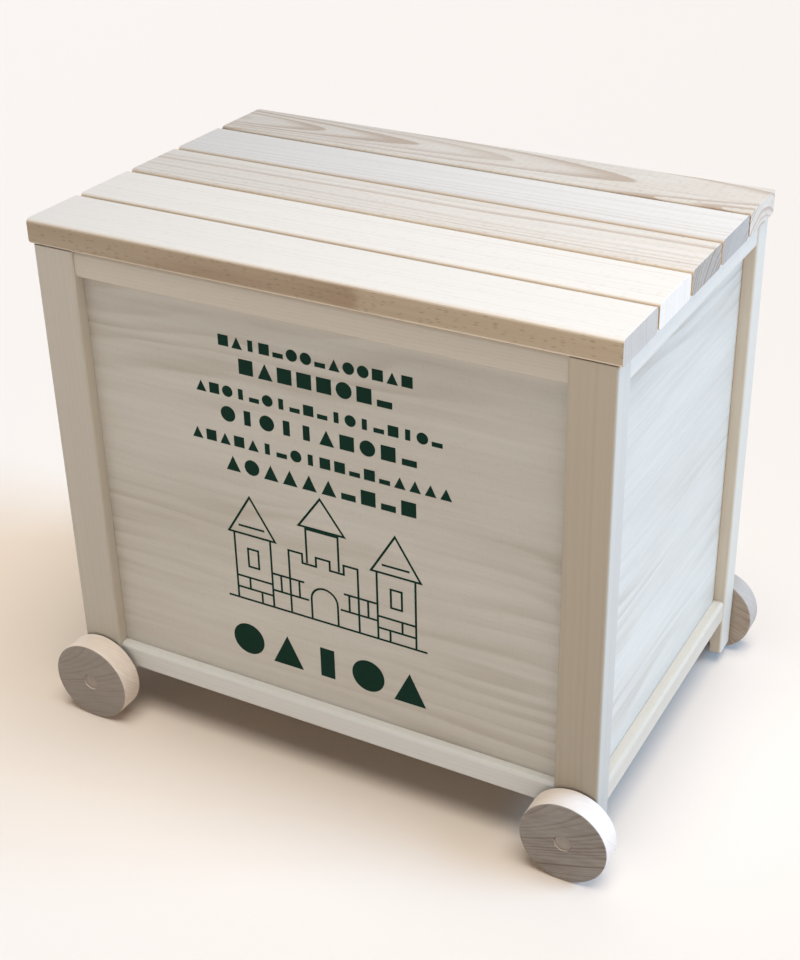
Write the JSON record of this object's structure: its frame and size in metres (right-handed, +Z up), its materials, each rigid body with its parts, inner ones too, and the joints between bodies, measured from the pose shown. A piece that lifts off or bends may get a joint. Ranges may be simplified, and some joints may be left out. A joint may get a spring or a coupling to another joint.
{
  "type": "wooden toy box",
  "caption": "Wooden toy box with framed plywood walls, a slatted lid that lifts off, and wheels on dowel axles.",
  "frame": {"origin": "on the floor, under the middle of the box", "axes": "+X along the box's width, the way it rolls; +Y from the front to the rear; +Z up"},
  "size_m": [0.43, 0.3026, 0.3735],
  "materials": {
    "beech_post": "sanded, clear lacquered beech",
    "beech_rail": "sanded, clear lacquered beech",
    "birch_ply": "smooth, clear lacquered plywood",
    "beech_slat": "sanded, clear lacquered beech",
    "beech_inner": "planed beech",
    "beech_wheel": "turned, clear lacquered beech",
    "beech_axle": "dowel rod with sawn ends",
    "screw_steel": "zinc-plated"
  },
  "bodies": {
    "box": {"front_left_post": "beech_post", "front_right_post": "beech_post", "rear_left_post": "beech_post", "rear_right_post": "beech_post", "front_top_rail": "beech_rail", "rear_top_rail": "beech_rail", "left_top_rail": "beech_rail", "right_top_rail": "beech_rail", "front_bottom_rail": "beech_rail", "rear_bottom_rail": "beech_rail", "left_bottom_rail": "beech_rail", "right_bottom_rail": "beech_rail", "front_panel": "birch_ply", "rear_panel": "birch_ply", "left_panel": "birch_ply", "right_panel": "birch_ply", "floor_panel": "birch_ply", "front_floor_cleat": "beech_inner", "rear_floor_cleat": "beech_inner", "left_floor_cleat": "beech_inner", "right_floor_cleat": "beech_inner"},
    "lid": {"lid_slat_1": "beech_slat", "lid_slat_2": "beech_slat", "lid_slat_3": "beech_slat", "lid_slat_4": "beech_slat", "lid_slat_5": "beech_slat", "left_lid_batten": "beech_inner", "right_lid_batten": "beech_inner", "left_batten_screws": "screw_steel", "right_batten_screws": "screw_steel"},
    "left_wheel_set": {"front_left_wheel": "beech_wheel", "rear_left_wheel": "beech_wheel", "left_axle": "beech_axle"},
    "right_wheel_set": {"front_right_wheel": "beech_wheel", "rear_right_wheel": "beech_wheel", "right_axle": "beech_axle"}
  },
  "joints": [
    {"name": "lid_lift", "type": "slide", "parent": "box", "child": "lid", "axis": [0, 0, 1], "range_m": [0, 0.25]},
    {"name": "left_wheels_spin", "type": "hinge", "parent": "box", "child": "left_wheel_set", "pos_m": [-0.185, 0, 0.03], "axis": [0, 1, 0], "continuous": true},
    {"name": "right_wheels_spin", "type": "hinge", "parent": "box", "child": "right_wheel_set", "pos_m": [0.185, 0, 0.03], "axis": [0, 1, 0], "continuous": true}
  ]
}
